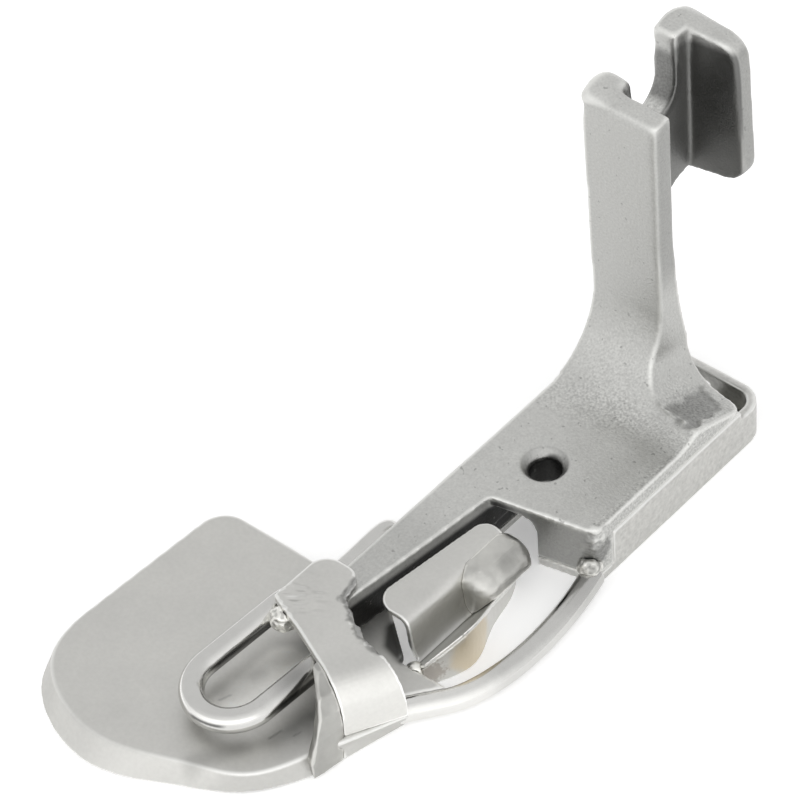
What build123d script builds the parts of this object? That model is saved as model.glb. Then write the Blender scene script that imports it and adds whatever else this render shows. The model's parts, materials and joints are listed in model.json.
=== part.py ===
from build123d import *
import os
from math import cos, radians, sin, tan

os.makedirs("parts", exist_ok=True)

# All sizes are in millimetres.
# The frame's origin is where the presser bar's axis crosses the clamp screw's axis.
# +X is right, +Y is back and +Z is up. The sizes below are taken from the needle hole at sole level.

# Standard sizes that set the scale
shank_height = 25.4
bar_diameter = 7.24
bar_play = 0.36
channel_width = bar_diameter + bar_play
needle_to_bar = 17.3
bar_offset = 0.36

# Body and toe of the casting
body_left = -4.8
body_right = 7.05
body_top = 5.3
body_front = -4.75
front_slant = 1.65
inner_corner = -1.05
body_rear = 15.1
rear_slant = 1.7
corner_radius = 1.1
toe_tip = -20.0
toe_taper = 0.119
edge_round = 0.3

# Shank, clamp and screw notch
shank_right = 1.3
shank_front = 11.7
shank_top = 29.0
front_blend = 6.0
side_blend = 3.0
patch_top = 7.0
patch_slope = 19.5
channel_front = needle_to_bar - channel_width / 2
channel_rear = needle_to_bar + channel_width / 2
shank_foot = 8.5
shank_foot_rear = 14.4
web_thickness = 1.55
web_bottom = 16.5
web_blend = 3.2
web_drop = 1.5
flange_thick = 2.4
flange_thin = 1.5
flange_splay = 0.45
flange_bottom = 16.0
flange_rise = 0.7
flange_drop = 0.3
flange_lean = 0.65
flange_round = 1.7
clamp_lean = 0.5
clamp_dome = 0.35
notch_radius = 2.3
notch_round = 1.1

# Needle hole and the hem passage under the body
needle_hole_radius = 1.2
sink_radius = 1.72
passage_left = -1.35
passage_right = 2.35
mouth_top = 4.4
mouth_round = 1.2
mouth_depth = 2.2
throat_top = 2.2

# Sole tray
tray_sheet = 0.8
tray_wall = 0.75
tray_seam = 3.9
tray_rim = 3.2
tray_rear = 16.45
tray_corner = 2.0
tray_start = -1.2

# Front plate
plate_sheet = 0.8
plate_top = 1.7
plate_back = -14.4
rim_foot = 0.1

# Bridge strap
strap_sheet = 0.75
strap_angle = 29.0
strap_foot = (5.3, -21.35)
strap_width = 4.6
strap_bend = 3.0
strap_top = body_top + strap_sheet

# Wires
wire_radius = 0.9
guard_height = 0.92
loop_angle = 6.7
loop_radius = 2.95
loop_slope = 5.0
loop_centre = (-4.65, -27.7, 3.7)
loop_leg = 6.5
loop_end = -10.5
loop_dip = 0.53
loop_sink = 1.6

# Hem scroll
scroll_sheet = 0.4
blade_top = 4.5
gutter_bottom = 0.55

# Planes at the needle hole: sole level, seen from the right and seen from the front
needle_x = -bar_offset
needle_y = -needle_to_bar
sole = Plane(origin=(needle_x, needle_y, -shank_height))


def side_plane(x):
    return Plane(origin=sole.origin + Vector(x, 0, 0), x_dir=(0, 1, 0), z_dir=(1, 0, 0))


def front_plane(y):
    return Plane(origin=sole.origin + Vector(0, y, 0), x_dir=(1, 0, 0), z_dir=(0, -1, 0))


# Casting: plan outline cut to the side view, then the clamp and the openings
body_width = body_right - body_left
toe_inner = inner_corner - toe_taper * (body_front - toe_tip)
clamp_left = body_left - clamp_lean
clamp_rear = channel_rear + flange_thick
blend_top = body_top + front_blend

with BuildPart() as shank_casting:
    with BuildSketch(sole) as outline:
        with BuildLine():
            Polyline(
                (clamp_left, toe_tip),
                (toe_inner, toe_tip),
                (inner_corner, body_front),
                (body_right, body_front + front_slant),
                (body_right, body_rear - rear_slant),
                (shank_right, body_rear - rear_slant / 4),
                (clamp_left, body_rear),
                close=True,
            )
        make_face()
        fillet(outline.vertices().group_by(Axis.X)[-1], radius=corner_radius)
    extrude(amount=shank_top + clamp_dome)

    with BuildSketch(side_plane(clamp_left)):
        with BuildLine():
            Polyline(
                (shank_front - front_blend, body_top),
                (toe_tip, body_top),
                (toe_tip, plate_top),
                (body_front, plate_top),
                (body_front, tray_sheet),
                (body_rear, tray_sheet),
                (body_rear, tray_seam),
            )
            Spline(
                (body_rear, tray_seam),
                (shank_foot_rear, shank_foot),
                (channel_front, web_bottom),
                tangents=((0, 1), (0, 1)),
            )
            Polyline(
                (channel_front, web_bottom),
                (channel_front, shank_top + clamp_dome),
                (shank_front, shank_top + clamp_dome),
                (shank_front, blend_top),
            )
            RadiusArc((shank_front, blend_top), (shank_front - front_blend, body_top), front_blend)
        make_face()
    extrude(amount=body_right - clamp_left, mode=Mode.INTERSECT)

    # Everything right of the shank is cut down to a patch that falls away behind the front blend
    with BuildSketch(front_plane(shank_front - front_blend)):
        with BuildLine():
            Polyline(
                (shank_right, patch_top + side_blend),
                (shank_right, 2 * shank_top),
                (2 * body_right, 2 * shank_top),
                (2 * body_right, patch_top),
                (shank_right + side_blend, patch_top),
            )
            RadiusArc(
                (shank_right + side_blend, patch_top),
                (shank_right, patch_top + side_blend),
                side_blend,
            )
        make_face()
    fall = radians(patch_slope)
    extrude(amount=body_rear, dir=(0, cos(fall), -sin(fall)), mode=Mode.SUBTRACT)
    upright = shank_casting.edges().filter_by(Axis.Z).sort_by(Axis.Z)[-4:]
    fillet(upright.sort_by(Axis.Y)[:2], radius=edge_round)

    # Web on the left of the channel, its lower edge curving down into the shank
    with BuildSketch(side_plane(clamp_left)):
        with BuildLine():
            Polyline(
                (channel_rear, web_bottom),
                (channel_rear, shank_top + clamp_dome),
                (shank_front + tray_wall, shank_top + clamp_dome),
                (shank_front + tray_wall, blend_top),
                (shank_foot_rear - tray_wall, blend_top),
                (channel_rear - web_blend, web_bottom - web_drop),
            )
            TangentArc(
                (channel_rear, web_bottom),
                (channel_rear - web_blend, web_bottom - web_drop),
                tangent=(-1, 0),
            )
        make_face()
    extrude(amount=web_thickness + clamp_lean)

    # Rear flange: splayed, thinner and lower towards its free end
    with BuildSketch(front_plane(channel_rear)) as flange:
        with BuildLine():
            Polyline(
                (clamp_left, flange_bottom),
                (shank_right, flange_bottom + flange_rise),
                (shank_right - flange_lean, shank_top - flange_drop),
                (clamp_left, shank_top + clamp_dome),
                close=True,
            )
        make_face()
        fillet(flange.vertices().sort_by(Axis.X)[-2:], radius=flange_round)
    extrude(amount=-flange_thick)
    with BuildSketch(sole.offset(flange_bottom)):
        with BuildLine():
            Polyline(
                (clamp_left + web_thickness + clamp_lean, clamp_rear),
                (shank_right, channel_rear + flange_splay + flange_thin),
                (shank_right, clamp_rear),
                close=True,
            )
        make_face()
        with BuildLine():
            Polyline(
                (clamp_left + web_thickness + clamp_lean, channel_rear),
                (shank_right, channel_rear + flange_splay),
                (shank_right, channel_rear),
                close=True,
            )
        make_face()
    extrude(amount=shank_top, mode=Mode.SUBTRACT)

    # The tops of both horns are domed
    with BuildSketch(side_plane(clamp_left)):
        with BuildLine():
            Polyline(
                (shank_front, shank_top - clamp_dome),
                (shank_front, 2 * shank_top),
                (clamp_rear, 2 * shank_top),
                (clamp_rear, shank_top - clamp_dome),
            )
            ThreePointArc(
                (clamp_rear, shank_top - clamp_dome),
                (channel_rear, shank_top + clamp_dome),
                (needle_to_bar, shank_top - clamp_dome / 2),
            )
            ThreePointArc(
                (needle_to_bar, shank_top - clamp_dome / 2),
                (channel_front, shank_top - clamp_dome / 3),
                (shank_front, shank_top - clamp_dome),
            )
        make_face()
    extrude(amount=body_width, mode=Mode.SUBTRACT)

    # The left side leans out towards the clamp
    with BuildSketch(front_plane(toe_tip)):
        with BuildLine():
            Polyline(
                (body_left, 0),
                (body_left, body_top),
                (clamp_left, shank_top + clamp_dome),
                (2 * clamp_left, shank_top + clamp_dome),
                (2 * clamp_left, 0),
                close=True,
            )
        make_face()
    extrude(amount=toe_tip - clamp_rear, mode=Mode.SUBTRACT)

    # Notch for the clamp screw, open at the top
    with BuildSketch(side_plane(clamp_left)):
        with Locations((needle_to_bar, shank_height)):
            Circle(notch_radius)
        with Locations((needle_to_bar, shank_height + 2 * notch_radius)):
            Rectangle(2 * notch_radius, 4 * notch_radius)
    extrude(amount=web_thickness + clamp_lean, mode=Mode.SUBTRACT)
    across = shank_casting.edges().filter_by(Axis.X)
    notch_front = across.filter_by_position(Axis.Y, -notch_radius - edge_round, -notch_radius + edge_round)
    fillet(notch_front.sort_by(Axis.Z)[-1], radius=notch_round)

    # Mouth and throat of the hem passage, then the needle hole
    with BuildSketch(front_plane(body_front)) as mouth:
        with BuildLine():
            Polyline(
                (inner_corner, 0),
                (inner_corner, mouth_top),
                (passage_right, mouth_top),
                (passage_right, 0),
                close=True,
            )
        make_face()
        fillet(mouth.vertices().group_by(Axis.Y)[-1].sort_by(Axis.X)[-1], radius=mouth_round)
    extrude(amount=-mouth_depth - front_slant / 2, mode=Mode.SUBTRACT)
    with BuildSketch(sole):
        with Locations(((passage_left + passage_right) / 2, body_front + body_rear)):
            Rectangle(passage_right - passage_left, 2 * body_rear)
    extrude(amount=throat_top, mode=Mode.SUBTRACT)
    with Locations(sole.offset(body_top)):
        CounterSinkHole(needle_hole_radius, sink_radius)

    # Step on the right for the tray's wall
    with BuildSketch(sole):
        with Locations((body_right - tray_wall / 2, tray_start + body_rear)):
            Rectangle(tray_wall, 2 * body_rear)
    extrude(amount=tray_seam, mode=Mode.SUBTRACT)

shank_casting.part.label = "shank_casting"
export_step(shank_casting.part, "parts/shank_casting.step")

# Sole tray: floor with the right wall and the lower rear rim
with BuildPart() as sole_tray:
    with BuildSketch(sole) as floor:
        with BuildLine():
            Polyline(
                (body_left, body_front),
                (inner_corner, body_front),
                (body_right, body_front + front_slant),
                (body_right, tray_rear),
                (body_left, tray_rear),
                close=True,
            )
        make_face()
        rear_right = floor.vertices().group_by(Axis.Y)[-1].sort_by(Axis.X)[-1]
        fillet(rear_right, radius=tray_corner)
    extrude(amount=tray_seam)
    with BuildSketch(sole.offset(tray_sheet)) as inside:
        with BuildLine():
            Polyline(
                (body_left, body_front),
                (body_right, body_front),
                (body_right, tray_start),
                (body_right - tray_wall, tray_start),
                (body_right - tray_wall, tray_rear - tray_wall),
                (body_left, tray_rear - tray_wall),
                close=True,
            )
        make_face()
        rear_right = inside.vertices().group_by(Axis.Y)[-1].sort_by(Axis.X)[-1]
        fillet(rear_right, radius=tray_corner - tray_wall)
    extrude(amount=tray_seam, mode=Mode.SUBTRACT)
    with BuildSketch(sole.offset(tray_rim)):
        with Locations((0, tray_rear)):
            Rectangle(2 * body_width, 2 * (tray_rear - body_rear + rear_slant))
    extrude(amount=tray_seam, mode=Mode.SUBTRACT)
    with BuildSketch(sole):
        with Locations(((passage_left + passage_right) / 2, body_front + tray_rear)):
            Rectangle(passage_right - passage_left, 2 * tray_rear)
    extrude(amount=throat_top, mode=Mode.SUBTRACT)

sole_tray.part.label = "sole_tray"
export_step(sole_tray.part, "parts/sole_tray.step")

# Guard wire: a bow in plan at sole level, from the body's front corner to the corner of the strap
guard_start = (body_right - tray_wall / 2, body_front + front_slant)
guard_end = (3.9, -21.2)

with BuildPart() as guard_wire:
    with BuildLine(sole.offset(guard_height)) as bow:
        Spline(
            guard_start,
            (7.4, -6.9),
            (7.7, -10.8),
            (7.3, -15.1),
            (6.4, -17.7),
            (5.1, -19.5),
            guard_end,
        )
    with BuildSketch(Plane(origin=bow.line @ 0, z_dir=bow.line % 0)):
        Circle(wire_radius)
    sweep()
    add(shank_casting.part, mode=Mode.SUBTRACT)
    add(sole_tray.part, mode=Mode.SUBTRACT)

guard_wire.part.label = "guard_wire"
export_step(guard_wire.part, "parts/guard_wire.step")

# Loop wire: hairpin that slopes down to the front, its left leg soldered along the toe
def loop_point(across, back):
    turn = radians(loop_angle)
    x = loop_centre[0] + across * cos(turn) + back * sin(turn)
    y = loop_centre[1] - across * sin(turn) + back * cos(turn)
    return (x, y, loop_centre[2] + back * tan(radians(loop_slope)))


toe_side = body_left - wire_radius
wire_level = body_top - wire_radius
run_start = (toe_side, toe_tip + 3, wire_level - loop_dip)
run_end = (toe_side, loop_end, wire_level - loop_sink)

with BuildPart() as loop_wire:
    with BuildLine(sole) as hairpin:
        Line(loop_point(loop_radius, loop_leg), loop_point(loop_radius, 0))
        ThreePointArc(
            loop_point(loop_radius, 0),
            loop_point(0, -loop_radius),
            loop_point(-loop_radius, 0),
        )
        leg = Line(loop_point(-loop_radius, 0), loop_point(-loop_radius, loop_leg))
        Spline(
            loop_point(-loop_radius, loop_leg),
            run_start,
            run_end,
            tangents=(leg % 1, (0, 1, -0.15)),
        )
    with BuildSketch(Plane(origin=hairpin.line @ 0, z_dir=hairpin.line % 0)):
        Circle(wire_radius)
    sweep()
    add(shank_casting.part, mode=Mode.SUBTRACT)

loop_wire.part.label = "loop_wire"
export_step(loop_wire.part, "parts/loop_wire.step")

# Bridge strap: straight strip bent down at its right end, trimmed to its plan outline
turn = radians(strap_angle)
strap_plane = Plane(
    origin=sole.origin + Vector(strap_foot[0], strap_foot[1], 0),
    x_dir=(cos(turn), -sin(turn), 0),
    z_dir=(-sin(turn), -cos(turn), 0),
)
strap_reach = -4 * strap_width
strap_front = (strap_foot[0] - strap_width * sin(turn), strap_foot[1] - strap_width * cos(turn))
strap_middle = (-3.2, -22.6)

with BuildPart() as bridge_strap:
    with BuildSketch(strap_plane):
        with BuildLine():
            Line((strap_reach, strap_top), (-strap_bend, strap_top))
            RadiusArc((-strap_bend, strap_top), (0, strap_top - strap_bend), strap_bend)
            Polyline(
                (0, strap_top - strap_bend),
                (0, plate_top),
                (-strap_sheet, plate_top),
                (-strap_sheet, strap_top - strap_bend),
            )
            RadiusArc(
                (-strap_sheet, strap_top - strap_bend),
                (-strap_bend, body_top),
                -(strap_bend - strap_sheet),
            )
            Polyline((-strap_bend, body_top), (strap_reach, body_top), (strap_reach, strap_top))
        make_face()
    extrude(amount=2 * strap_width, both=True)
    with BuildSketch(sole) as strap_outline:
        with BuildLine():
            Polyline(
                strap_front,
                strap_middle,
                (-6.5, -21.3),
                (-6.4, -16.2),
                (-2.8, -16.2),
                (-2.4, -18.5),
                (0.6, -20.4),
                strap_foot,
                close=True,
            )
        make_face()
        fillet(strap_outline.vertices().group_by(Axis.Y)[-1], radius=1.5)
    extrude(amount=strap_top, mode=Mode.INTERSECT)

bridge_strap.part.label = "bridge_strap"
export_step(bridge_strap.part, "parts/bridge_strap.step")

# Front plate: sheet whose front and right rim is bent down, an outer form less an inner form
plate_left = -18.0
plate_side = (-18.85, -27.0)
wire_side = (5.7, -17.75)
wire_middle = (4.5, -20.5)
plate_corner = 2.2


def plate_edges(curve, right, out):
    Polyline(
        right,
        wire_middle,
        (wire_side[0] + out, wire_side[1] + out),
        (1.5, -17.9 + out),
        (1.4, -17.3 + out),
        (-2.3, plate_back + out),
        (plate_left - out, plate_back + out),
        (plate_side[0] - out, plate_side[1]),
    )
    Spline((plate_side[0] - out, plate_side[1]), *curve, right, tangents=((-0.07, -1), (0.4, 1)))


def flap_edges(rear, front):
    Polyline(
        rear,
        front,
        (front[0] - plate_sheet, front[1] + plate_sheet),
        (rear[0] - plate_sheet, rear[1]),
        close=True,
    )


bend_right = strap_foot
bend_curve = (
    (-17.7, -32.4),
    (-13.6, -35.0),
    (-9.4, -35.35),
    (-3.4, -33.4),
    (0.7, -31.1),
    strap_front,
)
rim_right = (4.7, -20.9)
flap_front = (3.4, -26.1)
rim_curve = (
    (-18.1, -33.2),
    (-13.4, -36.4),
    (-9.0, -36.7),
    (-4.0, -34.6),
    (0.9, -31.3),
    (3.1, -27.4),
)

with BuildPart() as front_plate:
    with BuildSketch(sole.offset(rim_foot)) as foot_form:
        with BuildLine():
            plate_edges(rim_curve, rim_right, 0)
        make_face()
        fillet(foot_form.vertices().group_by(Axis.Y)[-1].sort_by(Axis.X)[0], radius=plate_corner)
    with BuildSketch(sole.offset(plate_top)) as top_form:
        with BuildLine():
            plate_edges(bend_curve, bend_right, 0)
        make_face()
        fillet(top_form.vertices().group_by(Axis.Y)[-1].sort_by(Axis.X)[0], radius=plate_corner)
    loft(ruled=True)
    with BuildSketch(sole.offset(rim_foot - plate_sheet)):
        with BuildLine():
            plate_edges(rim_curve, rim_right, 1)
        make_face()
    with BuildSketch(sole.offset(plate_top - plate_sheet)):
        with BuildLine():
            plate_edges(bend_curve, bend_right, 1)
        make_face()
    loft(ruled=True, mode=Mode.SUBTRACT)
    with BuildSketch(sole.offset(rim_foot)):
        with BuildLine():
            flap_edges(rim_right, flap_front)
        make_face()
    with BuildSketch(sole.offset(plate_top)):
        with BuildLine():
            flap_edges(bend_right, strap_front)
        make_face()
    loft(ruled=True)
    add(guard_wire.part, mode=Mode.SUBTRACT)

front_plate.part.label = "front_plate"
export_step(front_plate.part, "parts/front_plate.step")

# Hem scroll: bent sheet trimmed to its plan outline, with a second sheet as a skirt under its lip
scroll_rear = -6.1
scroll_front = -17.6
blade_left = -1.75
blade_front = -16.6
gutter_x = 2.35
lip_reach = 5.6
lip_overhang = 0.12
lip_top = gutter_bottom + scroll_sheet + 1.2 * (lip_reach - gutter_x)
sheet_reach = 2 * blade_left


def scroll_surface(drop):
    Line((sheet_reach, blade_top - drop), (0.5, blade_top - drop))
    Spline(
        (0.5, blade_top - drop),
        (1.6 - drop, 2.7),
        (gutter_x, gutter_bottom + scroll_sheet - drop),
        tangents=((1, 0), (1, -0.4)),
    )
    Line((gutter_x, gutter_bottom + scroll_sheet - drop), (lip_reach, lip_top - drop))


def lip_edge(inset):
    Spline(
        (2.3 - inset, scroll_rear),
        (3.25 - inset, -8.2),
        (3.75 - inset, -10.4),
        (4.95 - inset, -14.0),
        (4.3 - inset, -16.3),
        (3.55 - inset, scroll_front),
    )


def scroll_outline():
    Line((gutter_x - 0.3, blade_front), (-0.4, blade_front))
    RadiusArc((-0.4, blade_front), (blade_left + 0.05, blade_front + 1.6), 1.6)
    Line((blade_left + 0.05, blade_front + 1.6), (-0.65, scroll_rear - 1.0))
    RadiusArc((-0.65, scroll_rear - 1.0), (0.4, scroll_rear), 1.1)
    Line((0.4, scroll_rear), (2.3, scroll_rear))
    lip_edge(0)
    Polyline((3.55, scroll_front), (gutter_x - 0.3, -17.3), (gutter_x - 0.3, blade_front))


with BuildPart() as scroll_skirt:
    with BuildSketch(sole):
        with BuildLine():
            lip_edge(lip_overhang)
            lip_edge(lip_overhang + scroll_sheet)
            Line((2.3 - lip_overhang, scroll_rear), (2.3 - lip_overhang - scroll_sheet, scroll_rear))
            Line((3.55 - lip_overhang, scroll_front), (3.55 - lip_overhang - scroll_sheet, scroll_front))
        make_face()
    extrude(amount=lip_top)
    with BuildSketch(front_plane(scroll_rear)):
        with BuildLine():
            Polyline(
                (gutter_x, 0),
                (lip_reach, 0),
                (lip_reach, lip_top - scroll_sheet),
                (gutter_x, gutter_bottom),
                close=True,
            )
        make_face()
    extrude(amount=2 * (scroll_rear - scroll_front), both=True, mode=Mode.INTERSECT)

scroll_skirt.part.label = "scroll_skirt"
export_step(scroll_skirt.part, "parts/scroll_skirt.step")

with BuildPart() as hem_scroll:
    with BuildSketch(front_plane(scroll_rear)):
        with BuildLine():
            scroll_surface(0)
            Line((lip_reach, lip_top), (lip_reach, lip_top - scroll_sheet))
            scroll_surface(scroll_sheet)
            Line((sheet_reach, blade_top), (sheet_reach, blade_top - scroll_sheet))
        make_face()
    extrude(amount=4 * lip_top, both=True)
    with BuildSketch(sole):
        with BuildLine():
            scroll_outline()
        make_face()
    extrude(amount=2 * lip_top, mode=Mode.INTERSECT)

hem_scroll.part.label = "hem_scroll"
export_step(hem_scroll.part, "parts/hem_scroll.step")

# Solder: each bead is a plain form less the pieces it joins
loop_solder_x = -5.4
loop_solder_gap = 1.7
loop_solder_drop = 0.55
loop_solder_radius = 1.0
weld_shift = 0.35
weld_lead = 0.05
scroll_weld_height = 1.2
scroll_weld_radius = 0.7
guard_weld_shift = 0.2


def bead(x, y, z, radius):
    with Locations(sole.origin + Vector(x, y, z)):
        Sphere(radius)


def spare(*pieces):
    for piece in pieces:
        add(piece.part, mode=Mode.SUBTRACT)


# Level section of the solder in front of the strap: from the strap's edge to the solder's front edge
def level_section(height, edge, front):
    back = (2 * edge[0] - front[0], 2 * edge[1] - front[1])
    with BuildSketch(sole.offset(height)) as section:
        with BuildLine():
            Polyline(
                back,
                front,
                (front[0] - strap_sheet, front[1] + strap_sheet / 2),
                (back[0] - 2 * strap_sheet, back[1] + strap_sheet),
                close=True,
            )
        make_face()
    return section.sketch


def bend_section(angle, front):
    rise = strap_bend * sin(radians(angle))
    reach = strap_bend - strap_bend * cos(radians(angle))
    edge = (strap_front[0] - reach * cos(turn), strap_front[1] + reach * sin(turn))
    return level_section(strap_top - strap_bend + rise, edge, front)


with BuildPart() as strap_solder:
    sections = [
        level_section(rim_foot, flap_front, (3.0, -28.6)),
        level_section(plate_top, strap_front, (3.0, -28.7)),
        bend_section(0, (2.87, -27.95)),
        bend_section(25, (2.5, -27.0)),
        bend_section(50, (1.8, -26.2)),
        bend_section(80, (0.55, -24.9)),
    ]
    loft(sections, ruled=True)
    edge_run = Vector(*strap_front) - Vector(*strap_middle)
    with BuildSketch(sole):
        with BuildLine():
            Polyline(
                Vector(*strap_front) + edge_run,
                Vector(*strap_middle) - edge_run,
                (strap_middle[0], 0),
                (strap_front[0] + edge_run.X, 0),
                close=True,
            )
        make_face()
    extrude(amount=2 * strap_top, mode=Mode.SUBTRACT)
    spare(front_plate)

strap_solder.part.label = "strap_solder"
export_step(strap_solder.part, "parts/strap_solder.step")

with BuildPart() as loop_solder:
    bead(loop_solder_x, toe_tip - loop_solder_gap, body_top - loop_solder_drop, loop_solder_radius)
    spare(bridge_strap, loop_wire)

loop_solder.part.label = "loop_solder"
export_step(loop_solder.part, "parts/loop_solder.step")

with BuildPart() as toe_solder:
    with BuildSketch(front_plane(loop_end - wire_radius)):
        with Locations((toe_side, wire_level - loop_sink)):
            Circle(wire_radius * 0.9)
    with BuildSketch(front_plane(body_front)):
        with Locations((body_left, wire_level - loop_sink)):
            Circle(wire_radius / 4)
    loft()
    with BuildSketch(side_plane(body_left)):
        with Locations(((body_front + loop_end) / 2, wire_level - loop_sink)):
            Rectangle(body_front - loop_end + 4 * wire_radius, 4 * wire_radius)
    extrude(amount=2 * wire_radius, mode=Mode.SUBTRACT)
    spare(loop_wire)

toe_solder.part.label = "toe_solder"
export_step(toe_solder.part, "parts/toe_solder.step")

roll_left = 0.3
roll_right = 3.75
roll_top = blade_top - 0.1
roll_rear = -5.45
roll_front = -11.15
roll_round = 1.65
roll_end_round = 1.3

# The filled fold at the rear of the scroll: a bar flush with the blade, rounded at its right and both ends
with BuildPart() as scroll_solder:
    with BuildSketch(front_plane(roll_rear)):
        with BuildLine():
            Line((roll_left, roll_top), (roll_right - roll_round, roll_top))
            RadiusArc((roll_right - roll_round, roll_top), (roll_right, roll_top - roll_round), roll_round)
            Polyline((roll_right, roll_top - roll_round), (roll_right, 0), (roll_left, 0), (roll_left, roll_top))
        make_face()
    extrude(amount=roll_rear - roll_front)
    ends = scroll_solder.faces().filter_by(Axis.Y)
    fillet([edge for face in ends for edge in face.edges().sort_by(Axis.Z)[1:]], roll_end_round)
    with BuildSketch(front_plane(scroll_rear)):
        with BuildLine():
            scroll_surface(0)
            Polyline(
                (lip_reach, lip_top),
                (lip_reach, 2 * lip_top),
                (sheet_reach, 2 * lip_top),
                (sheet_reach, blade_top),
            )
        make_face()
    extrude(amount=2 * (scroll_rear - scroll_front), both=True, mode=Mode.INTERSECT)

scroll_solder.part.label = "scroll_solder"
export_step(scroll_solder.part, "parts/scroll_solder.step")

with BuildPart() as scroll_weld:
    bead(gutter_x + weld_shift, scroll_front - weld_lead, scroll_weld_height, scroll_weld_radius)
    spare(hem_scroll, scroll_skirt, front_plate)

scroll_weld.part.label = "scroll_weld"
export_step(scroll_weld.part, "parts/scroll_weld.step")

with BuildPart() as guard_weld:
    bead(guard_start[0] - guard_weld_shift, guard_start[1] - guard_weld_shift, plate_top, wire_radius)
    spare(guard_wire, shank_casting, sole_tray)

guard_weld.part.label = "guard_weld"
export_step(guard_weld.part, "parts/guard_weld.step")
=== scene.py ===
import json
import math

import bpy
import numpy as np
from mathutils import Matrix, Vector, noise


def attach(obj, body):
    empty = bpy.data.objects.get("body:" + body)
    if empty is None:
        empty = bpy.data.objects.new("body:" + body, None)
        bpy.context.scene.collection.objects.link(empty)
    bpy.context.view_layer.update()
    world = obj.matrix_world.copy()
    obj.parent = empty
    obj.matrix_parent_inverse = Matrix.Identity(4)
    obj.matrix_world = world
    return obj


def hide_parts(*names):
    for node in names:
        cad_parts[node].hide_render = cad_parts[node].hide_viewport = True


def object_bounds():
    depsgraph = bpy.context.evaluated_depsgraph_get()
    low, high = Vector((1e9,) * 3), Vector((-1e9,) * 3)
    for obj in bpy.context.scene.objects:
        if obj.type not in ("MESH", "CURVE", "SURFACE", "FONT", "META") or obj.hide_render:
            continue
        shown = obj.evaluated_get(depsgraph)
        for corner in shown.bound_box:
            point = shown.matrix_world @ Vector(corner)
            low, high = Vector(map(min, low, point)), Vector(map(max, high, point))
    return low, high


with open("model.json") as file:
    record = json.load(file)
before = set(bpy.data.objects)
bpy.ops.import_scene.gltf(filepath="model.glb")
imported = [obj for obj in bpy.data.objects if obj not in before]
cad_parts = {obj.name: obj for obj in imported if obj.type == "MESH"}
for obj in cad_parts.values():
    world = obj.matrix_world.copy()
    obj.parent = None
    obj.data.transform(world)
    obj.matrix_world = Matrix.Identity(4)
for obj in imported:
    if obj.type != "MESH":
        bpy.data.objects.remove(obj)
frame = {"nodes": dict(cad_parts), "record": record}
cad_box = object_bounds()

# The frame is in metres, and its origin is where the presser bar's axis crosses the clamp screw's axis.
# Places below are in millimetres from the needle hole's axis at sole level, as in the CAD source.
MM = 0.001
MOUNT = {mount["name"]: mount["pos_m"] for mount in frame["record"]["mounts"]}
NEEDLE = Vector([value / MM for value in (*MOUNT["needle_hole"][:2], MOUNT["sole"][2])])
CLAMP = -NEEDLE
BOX_LOW, BOX_HIGH = [corner / MM - NEEDLE for corner in cad_box]
SLOT = {entry["node"]: entry["material_slot"] for entry in frame["record"]["subparts"]}


# Measures of a place


def ramp(value, start, full):
    """Smooth step from 0 at start to 1 at full, which may be the smaller of the two."""
    share = min(1, max(0, (value - start) / (full - start)))
    return share * share * (3 - 2 * share)


def near(place, centre, reach):
    """1 at the centre, falling to 0 at reach from it."""
    return ramp((place - centre).length, start=reach, full=0)


def plan(*points):
    """A line of points in plan."""
    return [Vector(point) for point in points]


def along(place, line, reach):
    """1 on a line in plan, falling to 0 at reach from it."""
    flat = place.to_2d()
    gaps = []
    for first, last in zip(line, line[1:]):
        run = last - first
        share = min(1, max(0, (flat - first).dot(run) / run.length_squared))
        gaps.append((flat - first - share * run).length)
    return ramp(min(gaps), start=reach, full=0)


def lump(place, size):
    """Uneven height of about -1 to 1: lumps of the given size, with lumps of half that size on them."""
    return noise.noise(place / size) + noise.noise(place * 2 / size) / 2


# Edges: every piece is its CAD node's own form, meshed evenly and rubbed round

VOXEL = {
    "shank_casting": 0.155,
    "sole_tray": 0.13,
    "front_plate": 0.115,
    "bridge_strap": 0.08,
    "hem_scroll": 0.07,
    "scroll_skirt": 0.06,
    "loop_wire": 0.08,
    "guard_wire": 0.08,
}
SOLDER_VOXEL = 0.06

RUB_FACTOR = 0.5
RUB_PASSES = {"shank_casting": 3, "sole_tray": 5, "front_plate": 12, "bridge_strap": 6, "strap_solder": 30}
USUAL_PASSES = 4
CLAMP_PASSES = 40


def modified(mesh, modify):
    """The mesh after the modifiers that modify(piece) gives it."""
    piece = bpy.data.objects.new("work", mesh)
    bpy.context.scene.collection.objects.link(piece)
    modify(piece)
    graph = bpy.context.evaluated_depsgraph_get()
    result = bpy.data.meshes.new_from_object(piece.evaluated_get(graph))
    bpy.data.objects.remove(piece)
    bpy.data.meshes.remove(mesh)
    return result


def evened(mesh, spacing):
    """The mesh made anew from voxels."""

    def modify(piece):
        mod = piece.modifiers.new("even", "REMESH")
        mod.mode = "VOXEL"
        mod.voxel_size = spacing

    return modified(mesh, modify)


def rubbed(mesh, passes, weight=None):
    """The mesh smoothed all over, or as much as weight(place) says."""

    def modify(piece):
        mod = piece.modifiers.new("rub", "SMOOTH")
        mod.factor = RUB_FACTOR
        mod.iterations = passes
        if weight:
            group = piece.vertex_groups.new(name="rub")
            for vertex in mesh.vertices:
                share = weight(vertex.co)
                if share > 0:
                    group.add([vertex.index], share, "REPLACE")
            mod.vertex_group = "rub"

    return modified(mesh, modify)


def clamp_wear(place):
    """The clamp's tops and its free right edges are worn rounder than the rest."""
    tops = ramp(place.z, start=26.4, full=27.9)
    right = ramp(place.x, start=0.1, full=1.0)
    edges = right * ramp(place.z, start=15, full=18) * ramp(place.y, start=11, full=11.5)
    return max(tops, edges)


# Unevenness: every surface is pushed along its normal, by lumps of a height and a width

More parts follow.
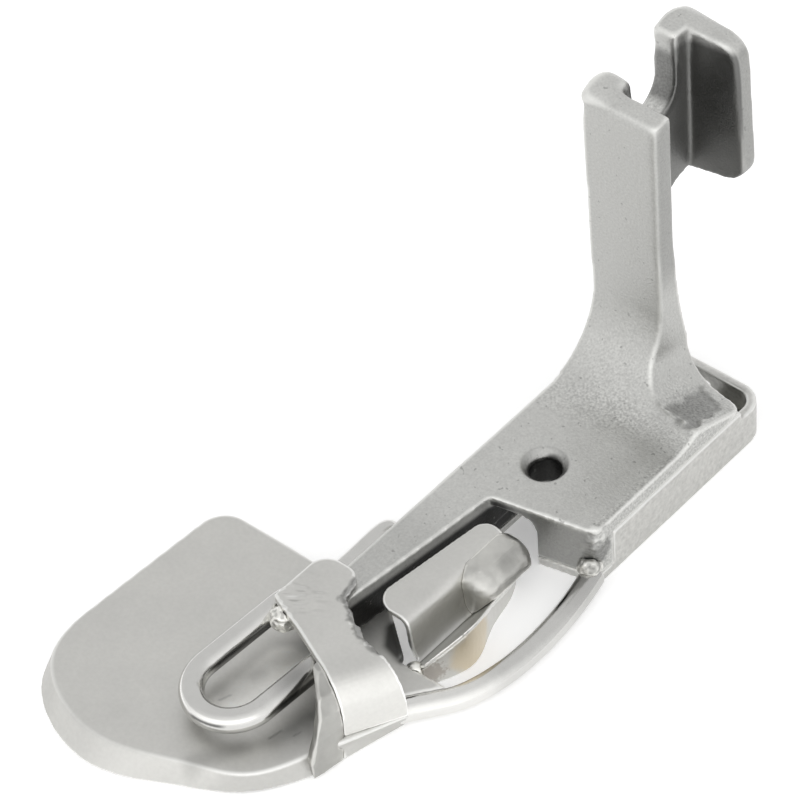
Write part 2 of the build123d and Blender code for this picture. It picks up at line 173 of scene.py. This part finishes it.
LUMPS = {
    "shank_casting": (0.02, 3.0),
    "sole_tray": (0.015, 2.0),
    "front_plate": (0.025, 6.0),
    "bridge_strap": (0.015, 2.5),
    "hem_scroll": (0.015, 2.0),
    "scroll_skirt": (0.015, 2.0),
    "loop_wire": (0.006, 2.5),
    "guard_wire": (0.006, 2.5),
    "strap_solder": (0.06, 1.4),
    "loop_solder": (0.16, 0.7),
    "guard_weld": (0.16, 0.7),
}
SOLDER_LUMPS = (0.06, 1.3)

# The flat that is ground behind the body's right edge
FLAT = Vector((5.0, 10.8, 5.2))
FLAT_HALF_X = 1.35
FLAT_HALF_Y = 2.0
FLAT_SKEW = 0.3
FLAT_RAGGED = 0.3
FLAT_DEPTH = 0.16

# Solder that has run over the body's right front corner
BODY_CORNER = Vector((6.8, -2.7, 4.0))
CORNER_HEIGHT = 0.2

# The full round ends of the clamp's two arms
FRONT_ARM = Vector((-4.7, 13.2, 28.8))
REAR_ARM = Vector((-4.7, 21.8, 29.0))
FRONT_ARM_HEIGHT = 0.42
REAR_ARM_HEIGHT = 0.28

# The strap's ragged rear edge, and the grooves across its left end
STRAP_REAR = plan((-2.8, -16.2), (-2.4, -18.5), (0.6, -20.4), (2.6, -20.8))
STRAP_LEFT = Vector((-5.2, -20.6, 6.0))
GROOVES_ALONG = Vector((0.6, 0.5))
GROOVES_ACROSS = Vector((-1.2, 2.2))
RAGGED_HEIGHT = 0.2
GROOVE_HEIGHT = 0.1


def flat_share(place):
    """1 on the ground flat, falling to 0 at its uneven outline."""
    gap = place - FLAT
    across = max(abs(gap.x) / FLAT_HALF_X, abs(gap.y + FLAT_SKEW * gap.x) / FLAT_HALF_Y)
    outline = across - FLAT_RAGGED * lump(place, size=1.0)
    return ramp(outline, start=1.15, full=0.85) * ramp(place.z, start=3.5, full=4.2)


def groove(place):
    """Uneven height of the strap's grooves, long in one direction and narrow in the other."""
    flat = place.to_2d()
    return noise.noise(Vector((flat.dot(GROOVES_ALONG), flat.dot(GROOVES_ACROSS), 0)))


def cast_push(place):
    corner = CORNER_HEIGHT * near(place, BODY_CORNER, reach=2.2) * lump(place, size=0.7)
    front_arm = FRONT_ARM_HEIGHT * near(place, FRONT_ARM, reach=2.6)
    rear_arm = REAR_ARM_HEIGHT * near(place, REAR_ARM, reach=2.6)
    arms = (front_arm + rear_arm) * ramp(place.z, start=27.6, full=28.5)
    return corner + arms - FLAT_DEPTH * flat_share(place)


def strap_push(place):
    ragged = RAGGED_HEIGHT * along(place, STRAP_REAR, reach=0.9) * lump(place, size=0.8)
    return ragged + GROOVE_HEIGHT * near(place, STRAP_LEFT, reach=3.2) * groove(place)


SPECIAL_PUSH = {"shank_casting": cast_push, "bridge_strap": strap_push}


def push_out(mesh, node):
    """Push the mesh's vertices along their normals, and no further than the CAD model's box."""
    height, width = LUMPS.get(node, SOLDER_LUMPS)
    special = SPECIAL_PUSH.get(node)
    moved = []
    for vertex in mesh.vertices:
        push = height * lump(vertex.co, width)
        if special:
            push += special(vertex.co)
        moved.append(vertex.co + vertex.normal * push)
    for vertex, place in zip(mesh.vertices, moved):
        vertex.co = [min(high, max(low, value)) for value, low, high in zip(place, BOX_LOW, BOX_HIGH)]


# Dirt and painted shade on the casting: each mark gives the share of the tone that is lost at a place

TOE_LINE = plan((-1.0, -2.0), (-1.2, -5.0), (-1.75, -10.5), (-2.9, -20.0))
SMEAR = Vector((6.9, -2.6, 3.0))
SMEAR_RAGGED = 0.35
NOTCH = Vector((-4.3, CLAMP.y, CLAMP.z))

# The toe wall, the hole's wall, the throat and the upright sides get painted shade
TOE_WALL_SHADE = 0.3
TOE_WALL_LOW_SHADE = 0.65
TOE_TOP_DARK = 0.12
HOLE_RIM_GRIME = 0.3
HOLE_WALL_SHADE = 0.9
FLAT_GRIME = 0.3
FLAT_SURROUND_GRIME = 0.18
THROAT_SHADE = 0.46
THROAT_LEFT_SHADE = 0.4
SMEAR_GRIME = 0.6
NOTCH_GRIME = 0.66
SIDE_SHADE = 0.2
SHANK_RIGHT_SHADE = 0.24


def toe_wall(place, normal):
    """Painted shade on the toe's wall beside the scroll, darker below its top edge."""
    dirt_and_shading = TOE_WALL_SHADE + TOE_WALL_LOW_SHADE * ramp(place.z, start=4.6, full=4.1)
    facing = ramp(normal.x, start=0.3, full=0.8)
    return dirt_and_shading * facing * ramp(along(place, TOE_LINE, reach=1.8), start=0, full=0.4)


def toe_top(place, normal):
    """Darker on the toe's top in front of the throat."""
    facing = ramp(normal.z, start=0.6, full=0.9)
    return TOE_TOP_DARK * facing * ramp(place.y, start=-7, full=-11)


def needle_hole(place, normal):
    """A dull ring around the needle hole, and painted shade on its wall."""
    radius = place.to_2d().length
    rim = ramp(place.z, start=3.8, full=4.3) * ramp(radius, start=1.85, full=1.7)
    wall = ramp(radius, start=1.4, full=1.2) * ramp(place.z, start=4.7, full=4.4)
    return max(HOLE_RIM_GRIME * rim, HOLE_WALL_SHADE * wall)


def ground_flat(place, normal):
    """The ground flat, and less so the metal around it."""
    surround = ramp(place.x, start=2.6, full=3.4) * near(place, FLAT, reach=5.0)
    return FLAT_SURROUND_GRIME * surround + FLAT_GRIME * flat_share(place)


def throat(place, normal):
    """Painted shade on the body's front wall behind the scroll, darker toward the toe."""
    dirt_and_shading = THROAT_SHADE + THROAT_LEFT_SHADE * ramp(place.x, start=1.3, full=-0.3)
    facing = ramp(normal.y, start=-0.5, full=-0.8)
    return dirt_and_shading * facing * ramp(place.z, start=5.2, full=4.8) * ramp(place.y, start=-7, full=-6)


def corner_smear(place, normal):
    """Dirty solder on the upright faces at the body's right front corner."""
    smear = near(place, SMEAR, reach=2.4) + SMEAR_RAGGED * lump(place, size=0.5)
    facing = ramp(normal.x, start=0.1, full=0.5) * ramp(normal.z, start=0.7, full=0.4)
    return SMEAR_GRIME * ramp(smear, start=0.35, full=0.8) * facing


def screw_notch(place, normal):
    """The unpolished wall of the clamp screw's notch."""
    around = ramp(near(place, NOTCH, reach=4.6), start=0.05, full=0.3) * ramp(place.z, start=20.5, full=22)
    return NOTCH_GRIME * around * ramp(normal.z, start=0.9, full=0.6)


def sides(place, normal):
    """Painted shade on all upright faces, and more so on the shank's right one."""
    shank_right = ramp(normal.x, start=0.6, full=0.9) * ramp(place.z, start=12, full=16)
    return (SIDE_SHADE + SHANK_RIGHT_SHADE * shank_right) * ramp(normal.z, start=0.9, full=0.4)


CAST_MARKS = (toe_wall, toe_top, needle_hole, ground_flat, throat, corner_smear, screw_notch, sides)


def cast_dirt_and_shade(place, normal):
    """The darkest of the casting's marks."""
    return max(mark(place, normal) for mark in CAST_MARKS)


# Painted shade on the hairpin loop: dark on its inside and under the strap, with a painted highlight over a
# painted dark reflection at its bend

LOOP_UNDER_STRAP = Vector((-0.9, -25.1, 4.7))
LOOP_MIDDLE_X = -4.0
DARK_REFLECTION_TILT = 0.34
GLEAM_TILT = 0.64
LOOP_DARKENING = 0.08
LOOP_INSIDE_SHADE = 0.82
LOOP_DARK_REFLECTION = 0.75
LOOP_UNDER_STRAP_SHADOW = 0.55
LOOP_GLEAM = 0.35


# Painted shade inside the legs and a painted shadow under the strap; at the bend a painted dark reflection
# below a painted highlight
def loop_shading(place, normal):
    inside = ramp(normal.x, start=0.1, full=0.4) * ramp(normal.z, start=0.55, full=0.25)
    legs = ramp(place.y, start=-28.5, full=-27.0)
    bend = ramp(place.y, start=-28.6, full=-29.4) * ramp(normal.y, start=-0.2, full=-0.5)
    middle = ramp(abs(place.x - LOOP_MIDDLE_X), start=1.7, full=0.9)
    dark_reflection = bend * middle * ramp(abs(normal.z - DARK_REFLECTION_TILT), start=0.16, full=0.06)
    gleam = bend * ramp(abs(normal.z - GLEAM_TILT), start=0.16, full=0.06)
    dirt_and_shading = max(
        LOOP_DARKENING,
        LOOP_INSIDE_SHADE * inside * legs,
        LOOP_DARK_REFLECTION * dark_reflection,
        LOOP_UNDER_STRAP_SHADOW * near(place, LOOP_UNDER_STRAP, reach=3.4),
    )
    return dirt_and_shading - LOOP_GLEAM * gleam


# Dirt on the strap: dark along its rear edge and in its grooves; a painted highlight where it bends down at
# the right

SEAM_RAGGED = 0.3
SEAM_GRIME = 0.55
GROOVE_GRIME = 0.22
STRAP_RIGHT_GLEAM = 0.13


def strap_dirt_and_highlight(place, normal):
    seam = along(place, STRAP_REAR, reach=1.1) + SEAM_RAGGED * lump(place, size=0.6)
    grooves = near(place, STRAP_LEFT, reach=3.4) * ramp(groove(place), start=0.05, full=0.5)
    dirt_and_shading = max(SEAM_GRIME * ramp(seam, start=0.45, full=0.9), GROOVE_GRIME * grooves)
    # The right side, where the strap bends down, is lightened as a painted highlight
    return dirt_and_shading - STRAP_RIGHT_GLEAM * ramp(normal.x, start=0.3, full=0.6)


# Marks on the front plate: scratches are dark, its rim, a band, the gap in front of the scroll's blade and
# the foot of the strap's solder are painted shade, and the plate inside the wire loop is painted light

SCRATCHES = (
    plan((-0.9, -28.6), (-0.7, -27.6)),
    plan((-5.9, -28.1), (-5.6, -27.3)),
    plan((0.3, -27.4), (0.4, -26.9)),
)
PLATE_SHADE_BAND = plan((-2.0, -30.4), (-3.6, -33.4))
BLADE_FRONT = plan((-0.4, -15.8), (0.4, -16.9), (1.6, -17.2))
GUSSET_FOOT = Vector((0.0, -25.6, 1.7))
INSIDE_LOOP = plan((-4.4, -23.0), (-4.7, -28.0))
PLATE_RIM_SHADE = 0.13
SCRATCH_GRIME = 0.4
PLATE_BAND_SHADE = 0.22
BLADE_FRONT_SHADE = 0.8
GUSSET_FOOT_SHADE = 0.3
INSIDE_LOOP_GLEAM = 0.5


def plate_scratches_and_shading(place, normal):
    rim = ramp(abs(normal.x), start=0.25, full=0.5) * ramp(normal.z, start=0.8, full=0.5)
    scratches = max(along(place, line, reach=0.16) for line in SCRATCHES)
    blade_front = ramp(along(place, BLADE_FRONT, reach=1.3), start=0, full=0.6)
    inside_loop = ramp(along(place, INSIDE_LOOP, reach=2.6), start=0, full=0.5)
    # Scratches are real; the rim, the band, the blade's gap and the gusset's foot are painted shade, and
    # inside the loop is painted light
    dirt_and_shading = max(
        PLATE_RIM_SHADE * rim,
        SCRATCH_GRIME * scratches,
        PLATE_BAND_SHADE * along(place, PLATE_SHADE_BAND, reach=1.3),
        BLADE_FRONT_SHADE * blade_front,
        GUSSET_FOOT_SHADE * near(place, GUSSET_FOOT, reach=3.0),
    )
    return dirt_and_shading - INSIDE_LOOP_GLEAM * inside_loop


# Tone of the guard wire: darker toward the body, and painted light toward the strap

GUARD_DARKENING = 0.1
GUARD_REAR_DARK = 0.16
GUARD_FRONT_GLEAM = 0.2


def guard_shading(place, normal):
    rear = ramp(place.y, start=-9, full=-5)
    front = ramp(place.y, start=-14, full=-16.5)
    return GUARD_DARKENING + GUARD_REAR_DARK * rear - GUARD_FRONT_GLEAM * front


# Dirt and painted shade on the solder, the tray and the scroll

GUSSET_DARKENING = 0.32
WELD_GRIME = 0.15
WELD_PATCH_GRIME = 0.4
ROLL_GRIME = 0.06
ROLL_PATCH_GRIME = 0.16
ROLL_REAR_SHADE = 0.32
TRAY_SIDE_SHADE = 0.2
FOLD_SHADE = 0.2


def gusset_darkening(place, normal):
    """The solder in front of the strap is darker all over."""
    return GUSSET_DARKENING


def weld_grime(place, normal):
    """The guard wire's weld is dark in patches."""
    return WELD_GRIME + WELD_PATCH_GRIME * ramp(lump(place, size=0.6), start=-0.1, full=0.6)


def roll_patches_and_shade(place, normal):
    """The solder roll behind the scroll is a little patchy, with painted shade at its rear right."""
    rear = ramp(place.y, start=-9.6, full=-8.2) * ramp(normal.x, start=0.1, full=0.5)
    patches = ramp(lump(place, size=1.1), start=-0.2, full=0.9)
    return max(ROLL_REAR_SHADE * rear, ROLL_GRIME + ROLL_PATCH_GRIME * patches)


def tray_shade(place, normal):
    """Painted shade on the tray's upright walls."""
    return TRAY_SIDE_SHADE * ramp(normal.z, start=0.9, full=0.4)


def fold_shade(place, normal):
    """Painted shade in the bottom of the scroll's fold."""
    return FOLD_SHADE * ramp(place.z, start=2.2, full=1.2) * ramp(normal.z, start=0, full=0.3)


def no_dirt_or_shading(place, normal):
    return 0


# Each piece's dirt together with its painted shade and painted highlights
DIRT_AND_SHADING = {
    "shank_casting": cast_dirt_and_shade,
    "loop_wire": loop_shading,
    "bridge_strap": strap_dirt_and_highlight,
    "front_plate": plate_scratches_and_shading,
    "guard_wire": guard_shading,
    "strap_solder": gusset_darkening,
    "sole_tray": tray_shade,
    "guard_weld": weld_grime,
    "scroll_solder": roll_patches_and_shade,
    "hem_scroll": fold_shade,
}


# Grit: the depth of the speckle, which differs over the casting and is even on the other pieces

GRIT = {"sole_tray": 0.24, "loop_wire": 0.03, "guard_wire": 0.03}
USUAL_GRIT = 0.05

# The blend at the shank's foot, and the line where it meets the body's top
BLEND = Vector((-1.0, 9.0, 7.0))
BLEND_LINE = plan((-4.5, 5.5), (6.5, 7.0))
CAST_GRIT = 0.16
BODY_RIGHT_GRIT = 0.5
BLEND_GRIT = 0.3
BLEND_LINE_GRIT = 0.42
FLAT_GRIT = 0.6
NOTCH_GRIT = 0.75


def cast_grit(place):
    body_right = BODY_RIGHT_GRIT * ramp(place.x, start=6.0, full=6.6)
    line = along(place, BLEND_LINE, reach=3.0) * ramp(place.z, start=5, full=5.5)
    blend = BLEND_GRIT * near(place, BLEND, reach=8.0) + BLEND_LINE_GRIT * line
    flat = FLAT_GRIT * near(place, FLAT, reach=5.5)
    notch = NOTCH_GRIT * near(place, NOTCH, reach=5.0)
    return max(CAST_GRIT, body_right, blend, flat, notch)


def grit(node, place):
    if node == "shank_casting":
        return cast_grit(place)
    return GRIT.get(node, USUAL_GRIT)


# Bend: how sharply the surface turns, for the painted highlight on edges and the painted shade in hollows

BEND_BLUR = 5
NEIGHBOURS = 4


def vectors(collection, name):
    """The x, y and z rows of a mesh's vectors."""
    values = np.empty(len(collection) * 3)
    collection.foreach_get(name, values)
    return values.reshape(-1, 3).T


def bends(mesh, spacing):
    """Convex bend at each vertex in 1/mm, evened out over its neighbours."""
    count = len(mesh.vertices)
    places = vectors(mesh.vertices, "co")
    normals = vectors(mesh.vertex_normals, "vector")
    ends = np.empty(len(mesh.edges) * 2, dtype=np.int32)
    mesh.edges.foreach_get("vertices", ends)
    first, second = ends.reshape(-1, 2).T
    degree = np.bincount(ends, minlength=count)

    def spread(values):
        total = np.bincount(first, values[second], count) + np.bincount(second, values[first], count)
        return total / np.maximum(degree, 1)

    rise = sum((axis - spread(axis)) * facing for axis, facing in zip(places, normals))
    result = rise * NEIGHBOURS / spacing**2
    for _ in range(BEND_BLUR):
        result = (result + spread(result)) / 2
    return result


# The dressed pieces


def store(mesh, name, values):
    """Keep a value at each vertex, for the materials."""
    mesh.attributes.new(name, "FLOAT", "POINT").data.foreach_set("value", values)


def dressed(node):
    """The piece that stands for a CAD node, with its edges, unevenness and marks."""
    mesh = frame["nodes"][node].data.copy()
    mesh.transform(Matrix.Translation(-NEEDLE) @ Matrix.Scale(1 / MM, 4))

    spacing = VOXEL.get(node, SOLDER_VOXEL)
    mesh = rubbed(evened(mesh, spacing), RUB_PASSES.get(node, USUAL_PASSES))
    if node == "shank_casting":
        mesh = rubbed(mesh, CLAMP_PASSES, clamp_wear)
    push_out(mesh, node)

    # The stored tone loss holds real dirt and scratches together with painted shade, and painted highlights
    # as negative values
    dirt_and_shading = DIRT_AND_SHADING.get(node, no_dirt_or_shading)
    store(mesh, "bend", bends(mesh, spacing))
    store(mesh, "dirt_and_shading", [dirt_and_shading(vertex.co, vertex.normal) for vertex in mesh.vertices])
    store(mesh, "grit", [grit(node, vertex.co) for vertex in mesh.vertices])

    mesh.transform(Matrix.Scale(MM, 4) @ Matrix.Translation(NEEDLE))
    mesh.polygons.foreach_set("use_smooth", [True] * len(mesh.polygons))
    mesh.materials.clear()
    piece = bpy.data.objects.new(node + "_surface", mesh)
    bpy.context.scene.collection.objects.link(piece)
    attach(piece, "root")
    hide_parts(node)
    return piece


surface = {node: dressed(node) for node in frame["nodes"]}


# Materials


def toned(colour, share):
    """The colour made lighter or darker."""
    return [min(1, value * share) for value in colour]


class Nodes:
    """A node tree, with short forms for the nodes that are used often."""

    def __init__(self, tree):
        self.tree = tree

    def new(self, kind):
        return self.tree.nodes.new("ShaderNode" + kind)

    def link(self, output, socket):
        self.tree.links.new(output, socket)

    def maths(self, operation, first, second):
        """Result of an operation on two values, each an output or a number."""
        made = self.new("Math")
        made.operation = operation
        for socket, value in zip(made.inputs, (first, second)):
            if isinstance(value, (int, float)):
                socket.default_value = value
            else:
                self.link(value, socket)
        return made.outputs[0]

    def mapped(self, value, before, after):
        """Smooth step that takes one range of values to another."""
        made = self.new("MapRange")
        made.interpolation_type = "SMOOTHSTEP"
        made.inputs["From Min"].default_value = before[0]
        made.inputs["From Max"].default_value = before[1]
        made.inputs["To Min"].default_value = after[0]
        made.inputs["To Max"].default_value = after[1]
        self.link(value, made.inputs["Value"])
        return made.outputs["Result"]


def blank_material(name):
    made = bpy.data.materials.new(name)
    made.use_nodes = True
    made.node_tree.nodes.clear()
    return made


class Steel(Nodes):
    """Worn steel: tone and gloss vary in patches, edges get a painted highlight and hollows a painted
    shade, fine grain lies as bump.
    """

    PATCHES_PER_MM = 0.3
    PATCH_DETAIL = 8
    PATCH_RANGE = (0.3, 0.7)
    GLOSS_SPREAD = 0.15
    GRAIN_DETAIL = 4
    GRAIN_HEIGHT = 0.06 * MM
    GRAIN_MIDDLE = 0.5
    SPECKLE = 2.6
    EDGE_LIGHT = 1.55
    EDGE_SHARE = 0.7
    HOLLOW_BEND = (-0.9, -2.6)
    HOLLOW_DARK = 0.4
    HOLLOW_SHARE = 0.5
    STAIN_CORE = 0.6
    STAIN_DETAIL = 4

    def __init__(self, name, colour, roughness, grain, grain_size, mottle=0.045, edge_bend=(0.8, 2.4)):
        self.made = blank_material(name)
        super().__init__(self.made.node_tree)
        self.shader = self.new("BsdfPrincipled")
        self.shader.inputs["Metallic"].default_value = 1.0
        self.link(self.shader.outputs[0], self.new("OutputMaterial").inputs[0])
        self.place = self.place_in_mm()

        patches = self.noise(self.PATCHES_PER_MM, self.PATCH_DETAIL)
        self.colour = self.patchy_tone(patches, toned(colour, 1 - mottle), toned(colour, 1 + mottle))
        gloss = (roughness * (1 - self.GLOSS_SPREAD), roughness * (1 + self.GLOSS_SPREAD))
        self.roughness = self.mapped(patches, self.PATCH_RANGE, gloss)

        grain_map = self.noise(1 / grain_size, self.GRAIN_DETAIL)
        self.bump = self.new("Bump")
        self.bump.inputs["Strength"].default_value = grain
        self.bump.inputs["Distance"].default_value = self.GRAIN_HEIGHT
        self.link(grain_map, self.bump.inputs["Height"])

        speckle = self.maths("SUBTRACT", grain_map, self.GRAIN_MIDDLE)
        speckle = self.maths("MULTIPLY", speckle, self.mark("grit"))
        self.scale(self.maths("ADD", self.maths("MULTIPLY", speckle, self.SPECKLE), 1.0))
        # Convex edges get a painted highlight, hollows a painted shade
        edges = self.mapped(self.mark("bend"), edge_bend, (0, self.EDGE_SHARE))
        self.tint(edges, toned(colour, self.EDGE_LIGHT))
        hollows = self.mapped(self.mark("bend"), self.HOLLOW_BEND, (0, self.HOLLOW_SHARE))
        self.tint(hollows, toned(colour, self.HOLLOW_DARK))
        # Dirt and painted shade darken the colour here, and painted highlights lighten it
        self.scale(self.maths("SUBTRACT", 1.0, self.mark("dirt_and_shading")))

    def place_in_mm(self):
        """The place on the piece, in millimetres from the needle hole."""
        mapping = self.new("Mapping")
        mapping.inputs["Scale"].default_value = [1 / MM] * 3
        mapping.inputs["Location"].default_value = -NEEDLE
        self.link(self.new("TexCoord").outputs["Object"], mapping.inputs["Vector"])
        return mapping.outputs[0]

    def patchy_tone(self, patches, dark, light):
        tone = self.new("ValToRGB")
        for stop, position, colour in zip(tone.color_ramp.elements, self.PATCH_RANGE, (dark, light)):
            stop.position = position
            stop.color = (*colour, 1)
        self.link(patches, tone.inputs["Fac"])
        return tone.outputs["Color"]

    def noise(self, scale, detail):
        made = self.new("TexNoise")
        made.inputs["Scale"].default_value = scale
        made.inputs["Detail"].default_value = detail
        self.link(self.place, made.inputs["Vector"])
        return made.outputs["Fac"]

    def mark(self, name):
        """A value that the mesh carries at each vertex."""
        made = self.new("Attribute")
        made.attribute_name = name
        return made.outputs["Fac"]

    def scale(self, share):
        """Multiply the colour so far by a share."""
        made = self.new("VectorMath")
        made.operation = "SCALE"
        self.link(self.colour, made.inputs[0])
        self.link(share, made.inputs["Scale"])
        self.colour = made.outputs[0]

    def tint(self, share, colour):
        """Mix a share of another colour into the colour so far."""
        mix = self.new("Mix")
        mix.data_type = "RGBA"
        base, other = [socket for socket in mix.inputs if socket.type == "RGBA"]
        other.default_value = (*colour, 1)
        self.link(share, mix.inputs["Factor"])
        self.link(self.colour, base)
        self.colour = [socket for socket in mix.outputs if socket.type == "RGBA"][0]

    def stain(self, centre, colour, radius, strength, ragged, size):
        """Tint around a place, with a ragged edge of lumps of the given size."""
        gap = self.new("VectorMath")
        gap.operation = "DISTANCE"
        gap.inputs[1].default_value = centre
        self.link(self.place, gap.inputs[0])
        rough = self.maths("MULTIPLY", self.noise(1 / size, self.STAIN_DETAIL), 2 * ragged * radius)
        reach = self.maths("ADD", gap.outputs["Value"], rough)
        fade = (radius * (1 + ragged), radius * (self.STAIN_CORE + ragged))
        self.tint(self.maths("MULTIPLY", self.mapped(reach, fade, (0, 1)), strength), colour)

    def done(self):
        self.link(self.colour, self.shader.inputs["Base Color"])
        self.link(self.roughness, self.shader.inputs["Roughness"])
        self.link(self.bump.outputs["Normal"], self.shader.inputs["Normal"])
        return self.made


CAST = (0.62, 0.62, 0.60)
SHEET = (0.66, 0.655, 0.63)
WIRE = (0.70, 0.695, 0.675)
SOLDER = (0.64, 0.635, 0.605)
BURN = (0.24, 0.18, 0.13)
TAN = (0.68, 0.60, 0.46)

PIT_SIZE = 0.42
PIT_DETAIL = 1
PIT_RANGE = (0.715, 0.76)
PIT_SHARE = 0.5
PIT_DARK = 0.35

# Where the painted shade inside the clamp channel fades out on each side, and its share on the floor and
# above it
CHANNEL_ASIDE = (4.6, 4.4)
CHANNEL_LEFT = (-3.6, -3.4)
CHANNEL_RIGHT = (1.15, 0.8)
CHANNEL_TOP = (28.6, 27.9)
CHANNEL_BOTTOM = (14.5, 16.0)
CHANNEL_FLOOR = (-3.3, -2.7)
CHANNEL_SHARE = (0.72, 0.92)
CHANNEL_DARK = 0.23

TAN_PLACE = (4.4, -13.6, 1.6)
BURN_PLACE = (3.65, -17.0, 1.2)


def channel_share(steel):
    """Share of the painted shade that the clamp channel's inside takes, 0 elsewhere."""
    parts = steel.new("SeparateXYZ")
    steel.link(steel.place, parts.inputs[0])
    x, y, z = parts.outputs
    aside = steel.maths("ABSOLUTE", steel.maths("SUBTRACT", y, CLAMP.y), 0)
    share = steel.mapped(aside, CHANNEL_ASIDE, (0, 1))
    limits = ((x, CHANNEL_LEFT), (x, CHANNEL_RIGHT), (z, CHANNEL_TOP), (z, CHANNEL_BOTTOM))
    for value, fade in limits:
        share = steel.maths("MULTIPLY", share, steel.mapped(value, fade, (0, 1)))
    return steel.maths("MULTIPLY", share, steel.mapped(x, CHANNEL_FLOOR, CHANNEL_SHARE))


def cast_steel():
    """Cast steel with small dark pits all over, and painted shade inside the clamp channel."""
    steel = Steel("cast_steel", CAST, roughness=0.40, grain=0.5, grain_size=0.18, edge_bend=(0.6, 1.9))
    pits = steel.mapped(steel.noise(1 / PIT_SIZE, PIT_DETAIL), PIT_RANGE, (0, PIT_SHARE))
    steel.tint(pits, toned(CAST, PIT_DARK))
    steel.tint(channel_share(steel), toned(CAST, CHANNEL_DARK))
    return steel.done()


def sheet_steel():
    return Steel("sheet_steel", SHEET, roughness=0.34, grain=0.10, grain_size=0.3).done()


def plate_steel():
    return Steel("plate_steel", SHEET, roughness=0.5, grain=0.10, grain_size=0.3).done()


def burnt_sheet():
    """Sheet that soldering has turned tan, and dark in one spot."""
    steel = Steel("burnt_sheet", SHEET, roughness=0.36, grain=0.25, grain_size=0.3)
    steel.stain(TAN_PLACE, TAN, radius=2.6, strength=0.9, ragged=0.25, size=1.5)
    steel.stain(BURN_PLACE, BURN, radius=1.2, strength=0.4, ragged=0.8, size=0.3)
    return steel.done()


def wire_steel():
    steel = Steel(
        "wire_steel", WIRE, roughness=0.17, grain=0.03, grain_size=0.5, mottle=0.02, edge_bend=(1.7, 3.4)
    )
    return steel.done()


def solder():
    return Steel("solder", SOLDER, roughness=0.34, grain=0.5, grain_size=0.5, mottle=0.15).done()


finish = {
    "cast_steel": cast_steel(),
    "sheet_steel": sheet_steel(),
    "wire_steel": wire_steel(),
    "solder": solder(),
}
special_finish = {"scroll_skirt": burnt_sheet(), "front_plate": plate_steel()}
for node, piece in surface.items():
    piece.data.materials.append(special_finish.get(node, finish[SLOT[node]]))


# Floor

FLOOR_HALF = 2.0
FLOOR_GAP = 0.02 * MM
FLOOR_TONE = 0.95
FLOOR_LIFT = 0.28


def pale_floor():
    """Matte floor that is lifted to white where it is seen, and keeps the object's shadow."""
    made = blank_material("pale_floor")
    tree = Nodes(made.node_tree)
    matte = tree.new("BsdfDiffuse")
    matte.inputs["Color"].default_value = (FLOOR_TONE, FLOOR_TONE, FLOOR_TONE, 1)
    ray = tree.new("LightPath").outputs
    seen = tree.maths("MAXIMUM", ray["Is Camera Ray"], ray["Is Glossy Ray"])
    seen = tree.maths("MAXIMUM", seen, ray["Is Transmission Ray"])
    glow = tree.new("Emission")
    tree.link(tree.maths("MULTIPLY", seen, FLOOR_LIFT), glow.inputs["Strength"])
    both = tree.new("AddShader")
    tree.link(matte.outputs[0], both.inputs[0])
    tree.link(glow.outputs[0], both.inputs[1])
    tree.link(both.outputs[0], tree.new("OutputMaterial").inputs[0])
    return made


floor_level = cad_box[0].z - FLOOR_GAP
floor_corners = [
    (side_x * FLOOR_HALF, side_y * FLOOR_HALF, floor_level)
    for side_x, side_y in ((-1, -1), (1, -1), (1, 1), (-1, 1))
]
floor_mesh = bpy.data.meshes.new("floor")
floor_mesh.from_pydata(floor_corners, [], [(0, 1, 2, 3)])
floor_mesh.materials.append(pale_floor())
floor = bpy.data.objects.new("floor", floor_mesh)
bpy.context.scene.collection.objects.link(floor)


# White surround, brighter low at the front right than high at the back left

BRIGHT_SIDE = (0.62, -0.72, -0.1)
FACING_RANGE = (-0.3, 0.9)
LEVEL_RANGE = (0.80, 1.35)

world = bpy.data.worlds.new("studio")
bpy.context.scene.world = world
world.use_nodes = True
background = world.node_tree.nodes["Background"]
background.inputs["Color"].default_value = (1, 1, 1, 1)
sky = Nodes(world.node_tree)
facing = sky.new("VectorMath")
facing.operation = "DOT_PRODUCT"
facing.inputs[1].default_value = Vector(BRIGHT_SIDE).normalized()
sky.link(sky.new("TexCoord").outputs["Generated"], facing.inputs[0])
level = sky.mapped(facing.outputs["Value"], FACING_RANGE, LEVEL_RANGE)
sky.link(level, background.inputs["Strength"])


# Camera at the photo's angle: one point of the foot is seen at a known pixel, at a known scale

AZIMUTH = math.radians(44)
ELEVATION = math.radians(45)
ROLL = math.radians(5)
IMAGE_PX = 800
FOCAL_PX = 4500
PX_PER_MM = 14.27
SEEN_POINT = (NEEDLE + Vector((0, 0, 5.3))) * MM
SEEN_PX = (545, 464)
SENSOR_MM = 36
CLIP_START = 0.01

level_back = Vector((math.sin(AZIMUTH), -math.cos(AZIMUTH), 0))
back = math.cos(ELEVATION) * level_back + math.sin(ELEVATION) * Vector((0, 0, 1))
level_right = Vector((math.cos(AZIMUTH), math.sin(AZIMUTH), 0))
upright = back.cross(level_right)
right = math.cos(ROLL) * level_right - math.sin(ROLL) * upright
up = math.sin(ROLL) * level_right + math.cos(ROLL) * upright
distance = FOCAL_PX / PX_PER_MM * MM
seen_right = (SEEN_PX[0] - IMAGE_PX / 2) / FOCAL_PX * distance
seen_up = (IMAGE_PX / 2 - SEEN_PX[1]) / FOCAL_PX * distance

camera = bpy.data.objects.new("camera", bpy.data.cameras.new("camera"))
bpy.context.scene.collection.objects.link(camera)
camera.data.sensor_width = SENSOR_MM
camera.data.lens = FOCAL_PX / IMAGE_PX * SENSOR_MM
camera.data.clip_start = CLIP_START
camera.location = SEEN_POINT - right * seen_right - up * seen_up + back * distance
camera.rotation_mode = "QUATERNION"
camera.rotation_quaternion = Matrix((right, up, back)).transposed().to_quaternion()
bpy.context.scene.camera = camera
bpy.context.scene.view_settings.view_transform = "Standard"
